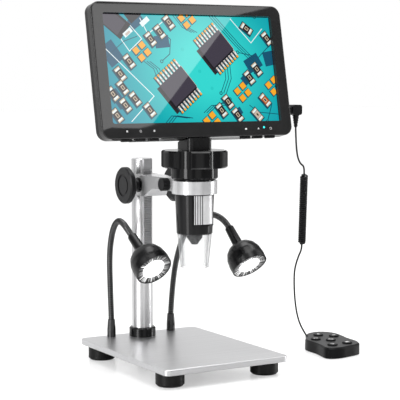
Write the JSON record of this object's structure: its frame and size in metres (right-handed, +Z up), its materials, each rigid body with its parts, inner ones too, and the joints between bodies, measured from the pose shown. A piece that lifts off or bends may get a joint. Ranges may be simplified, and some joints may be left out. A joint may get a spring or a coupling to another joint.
{
  "type": "lcd digital microscope",
  "caption": "Bench microscope with a tilting display on a geared column stand, bendable lamps and a wired remote.",
  "frame": {"origin": "on the surface the stand rests on, under the centre of the base plate", "axes": "+Z up along the column, -Y towards the user and the display's face, +X to the user's right"},
  "size_m": [0.2605, 0.154, 0.2996],
  "materials": {
    "brushed_aluminium": "brushed",
    "polished_aluminium": "polished",
    "steel": "plated",
    "black_rubber": "matt",
    "black_plastic": "satin",
    "gloss_black_plastic": "gloss",
    "bush_plastic": "natural",
    "black_metal": "satin black",
    "silver_plastic": "silver paint",
    "clear_plastic": "clear",
    "lens_glass": "coated",
    "display_glass": "gloss display",
    "circuit_board": "solder mask",
    "cell_wrap": "foil pouch",
    "lamp_light": "lit white diode under a clear lens",
    "teal_light": "lit teal",
    "key_plastic": "satin"
  },
  "bodies": {
    "stand": {"base_plate": "brushed_aluminium", "rubber_feet": "black_rubber", "base_screws": "steel", "column": "polished_aluminium", "column_collar": "black_plastic", "rack": "polished_aluminium", "lamp_ferrules": "steel", "gooseneck_left": "black_metal", "gooseneck_right": "black_metal", "remote_base": "black_plastic", "remote_cover": "black_plastic", "remote_board": "circuit_board", "remote_gland": "black_rubber", "cord_lower": "black_rubber"},
    "lamp_left": {"lamp_left_shade": "gloss_black_plastic", "lamp_left_light": "lamp_light"},
    "lamp_right": {"lamp_right_shade": "gloss_black_plastic", "lamp_right_light": "lamp_light"},
    "carriage": {"carriage_arm": "polished_aluminium", "slide_bush": "bush_plastic", "pinion_bushes": "black_plastic"},
    "clamp_knob": {"clamp_screw": "black_plastic"},
    "height_knobs": {"pinion_shaft": "steel", "knob_left": "black_plastic", "knob_right": "black_plastic"},
    "head": {"tube_shell": "gloss_black_plastic", "grip_panel": "silver_plastic", "upper_collar": "gloss_black_plastic", "clear_hood": "clear_plastic", "lens_barrel": "gloss_black_plastic", "front_lens": "lens_glass", "led_ring": "circuit_board", "sensor_board": "circuit_board", "neck_post": "black_plastic", "hinge_pin": "steel", "cord_curl": "black_rubber"},
    "focus_ring": {"focus_wheel": "gloss_black_plastic"},
    "screen": {"front_frame": "gloss_black_plastic", "power_light": "teal_light", "back_shell": "black_plastic", "lcd_panel": "display_glass", "main_board": "circuit_board", "battery": "cell_wrap", "screen_screws": "steel", "key_board": "circuit_board", "remote_plug": "black_rubber", "remote_jack": "black_plastic", "cord_upper": "black_rubber"},
    "screen_key_1": {"screen_button_1": "key_plastic"},
    "remote_key_1": {"remote_button_1": "key_plastic"},
    "screen_key_2": {"screen_button_2": "key_plastic"},
    "remote_key_2": {"remote_button_2": "key_plastic"},
    "screen_key_3": {"screen_button_3": "key_plastic"},
    "remote_key_3": {"remote_button_3": "key_plastic"},
    "screen_key_4": {"screen_button_4": "key_plastic"},
    "remote_key_4": {"remote_button_4": "key_plastic"},
    "screen_key_5": {"screen_button_5": "key_plastic"},
    "remote_key_5": {"remote_button_5": "key_plastic"},
    "screen_key_6": {"screen_button_6": "key_plastic"},
    "remote_key_6": {"remote_button_6": "key_plastic"}
  },
  "joints": [
    {"name": "carriage_slide", "type": "slide", "parent": "stand", "child": "carriage", "axis": [0, 0, 1], "range_m": [-0.04, 0.01], "deforming": ["cord_lower"]},
    {"name": "height_knob_turn", "type": "hinge", "parent": "carriage", "child": "height_knobs", "pos_m": [-0.0035, 0.0469, 0.1493], "axis": [1, 0, 0], "range_deg": [-140, 550]},
    {"name": "clamp_screw_turn", "type": "hinge", "parent": "carriage", "child": "clamp_knob", "pos_m": [-0.0035, 0.005, 0.1524], "axis": [1, 0, 0], "range_deg": [0, 720]},
    {"name": "head_swivel", "type": "hinge", "parent": "carriage", "child": "head", "pos_m": [-0.0035, -0.0287, 0.15], "axis": [0, 0, 1], "range_deg": [-30, 30], "deforming": ["cord_curl"]},
    {"name": "focus_wheel_turn", "type": "hinge", "parent": "head", "child": "focus_ring", "pos_m": [-0.0035, -0.0287, 0.175], "axis": [0, 0, 1], "range_deg": [-270, 270]},
    {"name": "screen_tilt", "type": "hinge", "parent": "head", "child": "screen", "pos_m": [-0.0035, -0.012, 0.2], "axis": [-1, 0, 0], "range_deg": [0, 45], "deforming": ["cord_upper"]},
    {"name": "lamp_left_bend", "type": "hinge", "parent": "stand", "child": "lamp_left", "pos_m": [-0.034, 0.058, 0.11], "axis": [1, 0, 0], "range_deg": [-15, 15], "deforming": ["gooseneck_left"]},
    {"name": "lamp_right_bend", "type": "hinge", "parent": "stand", "child": "lamp_right", "pos_m": [0.0375, 0.056, 0.11], "axis": [1, 0, 0], "range_deg": [-15, 15], "deforming": ["gooseneck_right"]},
    {"name": "screen_button_1_press", "type": "slide", "parent": "screen", "child": "screen_key_1", "axis": [0, 0.2011, 0.9796], "range_m": [0, 0.0006], "stiffness_N_per_m": 400},
    {"name": "screen_button_2_press", "type": "slide", "parent": "screen", "child": "screen_key_2", "axis": [0, 0.2011, 0.9796], "range_m": [0, 0.0006], "stiffness_N_per_m": 400},
    {"name": "screen_button_3_press", "type": "slide", "parent": "screen", "child": "screen_key_3", "axis": [0, 0.2011, 0.9796], "range_m": [0, 0.0006], "stiffness_N_per_m": 400},
    {"name": "screen_button_4_press", "type": "slide", "parent": "screen", "child": "screen_key_4", "axis": [0, 0.2011, 0.9796], "range_m": [0, 0.0006], "stiffness_N_per_m": 400},
    {"name": "screen_button_5_press", "type": "slide", "parent": "screen", "child": "screen_key_5", "axis": [0, 0.2011, 0.9796], "range_m": [0, 0.0006], "stiffness_N_per_m": 400},
    {"name": "screen_button_6_press", "type": "slide", "parent": "screen", "child": "screen_key_6", "axis": [0, 0.2011, 0.9796], "range_m": [0, 0.0006], "stiffness_N_per_m": 400},
    {"name": "remote_button_1_press", "type": "slide", "parent": "stand", "child": "remote_key_1", "axis": [0, 0, -1], "range_m": [0, 0.0006], "stiffness_N_per_m": 400},
    {"name": "remote_button_2_press", "type": "slide", "parent": "stand", "child": "remote_key_2", "axis": [0, 0, -1], "range_m": [0, 0.0006], "stiffness_N_per_m": 400},
    {"name": "remote_button_3_press", "type": "slide", "parent": "stand", "child": "remote_key_3", "axis": [0, 0, -1], "range_m": [0, 0.0006], "stiffness_N_per_m": 400},
    {"name": "remote_button_4_press", "type": "slide", "parent": "stand", "child": "remote_key_4", "axis": [0, 0, -1], "range_m": [0, 0.0006], "stiffness_N_per_m": 400},
    {"name": "remote_button_5_press", "type": "slide", "parent": "stand", "child": "remote_key_5", "axis": [0, 0, -1], "range_m": [0, 0.0006], "stiffness_N_per_m": 400},
    {"name": "remote_button_6_press", "type": "slide", "parent": "stand", "child": "remote_key_6", "axis": [0, 0, -1], "range_m": [0, 0.0006], "stiffness_N_per_m": 400}
  ],
  "couplings": [
    {"joint": "height_knob_turn", "follows": "carriage_slide", "rad_per_m": -238.1}
  ]
}
